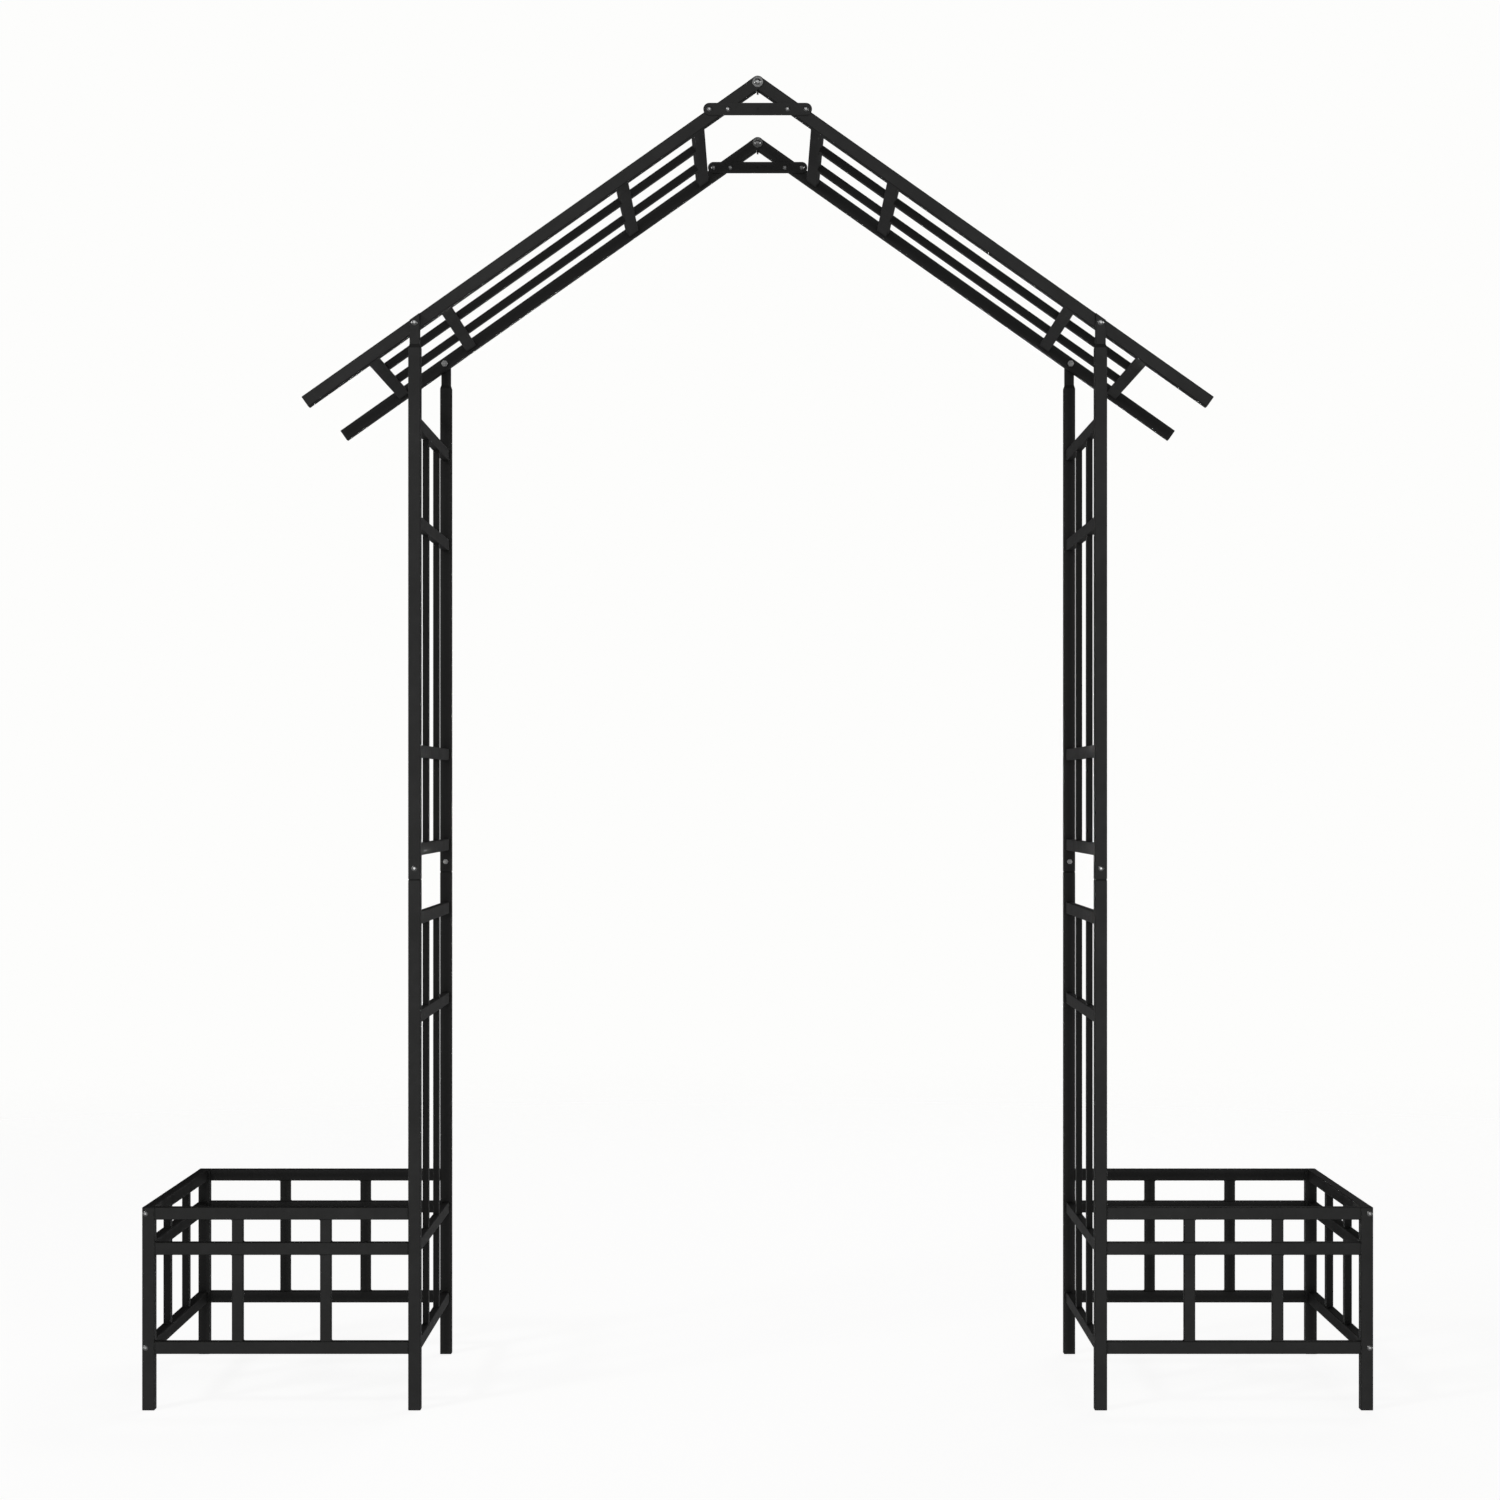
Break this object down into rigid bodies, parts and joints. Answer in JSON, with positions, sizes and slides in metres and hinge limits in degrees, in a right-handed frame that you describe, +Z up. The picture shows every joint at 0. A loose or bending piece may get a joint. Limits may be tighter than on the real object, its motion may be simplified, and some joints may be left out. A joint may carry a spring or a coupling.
{
  "type": "metal trellis arch",
  "caption": "Free-standing garden arch of black coated steel tube with ladder sides, a pitched lattice roof and an open fence for a planter on each side.",
  "frame": {"origin": "on the ground, at the middle of the footprint", "axes": "+X across the walkway to the right, -Y to the front, +Z up"},
  "size_m": [1.976, 0.5386, 2.1463],
  "materials": {
    "black_powder_coat": "satin black powder coat with a fine orange-peel texture",
    "zinc_plated_fastener": "zinc plating on cold-headed steel, darkly passivated, semi-gloss",
    "black_zinc_washer": "black-passivated zinc plating, semi-gloss",
    "bare_steel_insert": "bare threaded steel block inside a rail",
    "plug_plastic": "moulded black polyethylene, matt"
  },
  "bodies": {
    "root": {"foot_plugs": "plug_plastic", "front_tie_bar": "black_powder_coat", "left_front_rafter": "black_powder_coat", "left_planter_front_post": "black_powder_coat", "left_planter_front_rails": "black_powder_coat", "left_planter_front_slats": "black_powder_coat", "left_planter_rear_post": "black_powder_coat", "left_planter_rear_rails": "black_powder_coat", "left_planter_rear_slats": "black_powder_coat", "left_planter_side_rails": "black_powder_coat", "left_planter_side_slats": "black_powder_coat", "left_rear_rafter": "black_powder_coat", "left_roof_rungs": "black_powder_coat", "left_roof_slats": "black_powder_coat", "left_tower_lower_front_post": "black_powder_coat", "left_tower_lower_rear_post": "black_powder_coat", "left_tower_lower_rungs": "black_powder_coat", "left_tower_lower_slats": "black_powder_coat", "left_tower_upper_front_post": "black_powder_coat", "left_tower_upper_rear_post": "black_powder_coat", "left_tower_upper_rungs": "black_powder_coat", "left_tower_upper_slats": "black_powder_coat", "planter_bolts": "zinc_plated_fastener", "planter_post_caps": "plug_plastic", "planter_rail_inserts": "bare_steel_insert", "rafter_end_caps": "plug_plastic", "rear_tie_bar": "black_powder_coat", "ridge_bolts": "zinc_plated_fastener", "ridge_nuts": "zinc_plated_fastener", "ridge_washers": "black_zinc_washer", "right_front_rafter": "black_powder_coat", "right_planter_front_post": "black_powder_coat", "right_planter_front_rails": "black_powder_coat", "right_planter_front_slats": "black_powder_coat", "right_planter_rear_post": "black_powder_coat", "right_planter_rear_rails": "black_powder_coat", "right_planter_rear_slats": "black_powder_coat", "right_planter_side_rails": "black_powder_coat", "right_planter_side_slats": "black_powder_coat", "right_rear_rafter": "black_powder_coat", "right_roof_rungs": "black_powder_coat", "right_roof_slats": "black_powder_coat", "right_tower_lower_front_post": "black_powder_coat", "right_tower_lower_rear_post": "black_powder_coat", "right_tower_lower_rungs": "black_powder_coat", "right_tower_lower_slats": "black_powder_coat", "right_tower_upper_front_post": "black_powder_coat", "right_tower_upper_rear_post": "black_powder_coat", "right_tower_upper_rungs": "black_powder_coat", "right_tower_upper_slats": "black_powder_coat", "roof_bolts": "zinc_plated_fastener", "roof_nuts": "zinc_plated_fastener", "splice_bolts": "zinc_plated_fastener", "splice_nuts": "zinc_plated_fastener", "tie_bar_bolts": "zinc_plated_fastener", "tie_bar_nuts": "zinc_plated_fastener"}
  },
  "joints": []
}
